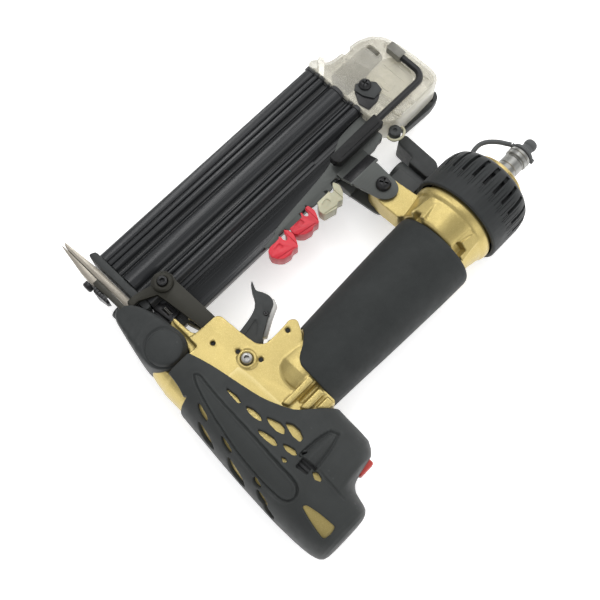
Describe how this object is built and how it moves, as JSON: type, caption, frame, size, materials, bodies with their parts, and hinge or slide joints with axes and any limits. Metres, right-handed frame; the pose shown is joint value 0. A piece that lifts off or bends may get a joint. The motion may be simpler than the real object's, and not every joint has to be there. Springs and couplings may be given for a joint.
{
  "type": "pneumatic nail gun",
  "caption": "Air-driven finish nailer with a ribbed magazine, sprung nose contact, trigger, rubber-covered cylinder body, padded handle, vented end cap and air plug.",
  "frame": {"origin": "middle of the bottom of the bounding box, as the tool lies on its left side", "axes": "+Y along the driver axis, out of the nose; +X along the handle, towards the air plug; +Z out of the tool's right side"},
  "size_m": [0.2722, 0.234, 0.06],
  "materials": {
    "gold": "satin champagne-gold paint on die-cast metal",
    "cover_rubber": "matte moulded elastomer",
    "black_plastic": "moulded, fine texture",
    "black_metal": "black anodised or painted",
    "steel": "machined",
    "nose_steel": "warm nickel tone",
    "link_steel": "dark brown phosphated steel",
    "bracket_steel": "grey phosphated steel",
    "chrome": "bright plated",
    "clear_plastic": "clear polycarbonate",
    "cream_plastic": "semi-gloss",
    "red_plastic": "semi-gloss",
    "grey_rubber": "matte"
  },
  "bodies": {
    "body": {"housing": "gold", "trigger_pin": "steel", "arm_guide_pin": "steel", "housing_pin": "steel", "valve_pin": "steel", "side_screw": "chrome", "cylinder_sleeve": "steel", "bumper": "cover_rubber", "head_valve_spring": "steel", "cylinder_cap": "gold", "body_cover": "cover_rubber", "nose_body": "black_metal", "guide_plate": "nose_steel", "nose_cover": "cover_rubber", "valve_body": "black_plastic", "magazine_base": "black_metal", "magazine_front_plate": "black_metal", "tip_holder": "bracket_steel", "rear_bracket": "bracket_steel", "rear_bracket_far": "bracket_steel", "bracket_screw": "black_metal", "bracket_nut": "black_metal", "hook_mount": "black_plastic", "grip_sleeve": "cover_rubber", "end_cap": "black_plastic", "end_plate": "gold", "exhaust_filter": "grey_rubber", "dust_cap_strap": "grey_rubber"},
    "contact": {"contact_nose": "nose_steel", "contact_arm": "link_steel", "link_bolt": "steel", "nose_bolt": "black_metal", "nose_catch": "steel"},
    "dial": {"adjuster_dial": "black_metal"},
    "trigger": {"trigger": "black_plastic", "lever_pin": "steel"},
    "safety_lever": {"trigger_lever": "steel"},
    "valve_stem": {"valve_stem": "steel"},
    "piston": {"piston": "steel", "piston_ring": "cover_rubber", "driver_blade": "steel"},
    "head_valve": {"head_valve": "black_plastic"},
    "pusher": {"pusher": "steel"},
    "magazine": {"magazine_body": "black_metal", "rear_cover": "clear_plastic", "cover_core": "cream_plastic", "roll_spring": "steel", "cover_clip": "black_plastic", "cover_screw": "black_metal", "cover_loop": "cream_plastic", "latch_pin": "steel"},
    "latch": {"latch_lever": "grey_rubber"},
    "hex_key": {"hex_key": "bracket_steel"},
    "tip_1": {"spare_tip_1": "red_plastic"},
    "tip_2": {"spare_tip_2": "red_plastic"},
    "tip_3": {"spare_tip_3": "cream_plastic"},
    "belt_hook": {"belt_hook": "black_plastic"},
    "air_plug": {"air_plug": "chrome"},
    "dust_cap": {"dust_cap": "grey_rubber"},
    "air_button": {"air_button": "red_plastic"}
  },
  "joints": [
    {"name": "contact_slide", "type": "slide", "parent": "body", "child": "contact", "axis": [0, -1, 0], "range_m": [0, 0.007], "stiffness_N_per_m": 300, "springref_m": -0.004},
    {"name": "dial_turn", "type": "hinge", "parent": "body", "child": "dial", "pos_m": [-0.1124, 0.0664, 0.0188], "axis": [0, 1, 0], "continuous": true},
    {"name": "trigger_pull", "type": "hinge", "parent": "body", "child": "trigger", "pos_m": [-0.0853, -0.0051, 0.03], "axis": [0, 0, -1], "range_deg": [0, 8], "stiffness_Nm_per_rad": 1, "springref_deg": -11.46},
    {"name": "safety_lever_tilt", "type": "hinge", "parent": "trigger", "child": "safety_lever", "pos_m": [-0.0567, 0.0019, 0.03], "axis": [0, 0, 1], "range_deg": [0, 6], "stiffness_Nm_per_rad": 0.05, "springref_deg": -5.73},
    {"name": "valve_stem_slide", "type": "slide", "parent": "body", "child": "valve_stem", "axis": [0, -1, 0], "range_m": [0, 0.003]},
    {"name": "piston_stroke", "type": "slide", "parent": "body", "child": "piston", "axis": [0, 1, 0], "range_m": [0, 0.062]},
    {"name": "head_valve_lift", "type": "slide", "parent": "body", "child": "head_valve", "axis": [0, -1, 0], "range_m": [0, 0.003], "stiffness_N_per_m": 800, "springref_m": -0.003, "deforming": ["head_valve_spring"]},
    {"name": "pusher_slide", "type": "slide", "parent": "body", "child": "pusher", "axis": [1, 0, 0], "range_m": [0, 0.14]},
    {"name": "magazine_slide", "type": "slide", "parent": "body", "child": "magazine", "axis": [1, 0, 0], "range_m": [0, 0.1]},
    {"name": "latch_press", "type": "hinge", "parent": "magazine", "child": "latch", "pos_m": [0.0971, 0.0318, 0.014], "axis": [0, 0, -1], "range_deg": [0, 10], "stiffness_Nm_per_rad": 0.3, "springref_deg": -5.73},
    {"name": "hex_key_pull", "type": "slide", "parent": "magazine", "child": "hex_key", "axis": [1, 0, 0], "range_m": [0, 0.06]},
    {"name": "spare_tip_1_pull", "type": "slide", "parent": "body", "child": "tip_1", "axis": [0, -1, 0], "range_m": [0, 0.018]},
    {"name": "spare_tip_2_pull", "type": "slide", "parent": "body", "child": "tip_2", "axis": [0, -1, 0], "range_m": [0, 0.018]},
    {"name": "spare_tip_3_pull", "type": "slide", "parent": "body", "child": "tip_3", "axis": [0, -1, 0], "range_m": [0, 0.018]},
    {"name": "belt_hook_swivel", "type": "hinge", "parent": "body", "child": "belt_hook", "pos_m": [0.0711, 0.007, 0.012], "axis": [0, 1, 0], "range_deg": [0, 90]},
    {"name": "air_plug_swivel", "type": "hinge", "parent": "body", "child": "air_plug", "pos_m": [0.1111, -0.0366, 0.03], "axis": [1, 0, 0], "continuous": true},
    {"name": "dust_cap_pull", "type": "slide", "parent": "air_plug", "child": "dust_cap", "axis": [1, 0, 0], "range_m": [0, 0.016], "deforming": ["dust_cap_strap"]},
    {"name": "air_button_press", "type": "slide", "parent": "body", "child": "air_button", "axis": [0, 1, 0], "range_m": [0, 0.002], "stiffness_N_per_m": 400, "springref_m": -0.002}
  ],
  "couplings": [
    {"joint": "valve_stem_slide", "follows": "trigger_pull", "m_per_rad": 0.020054}
  ]
}
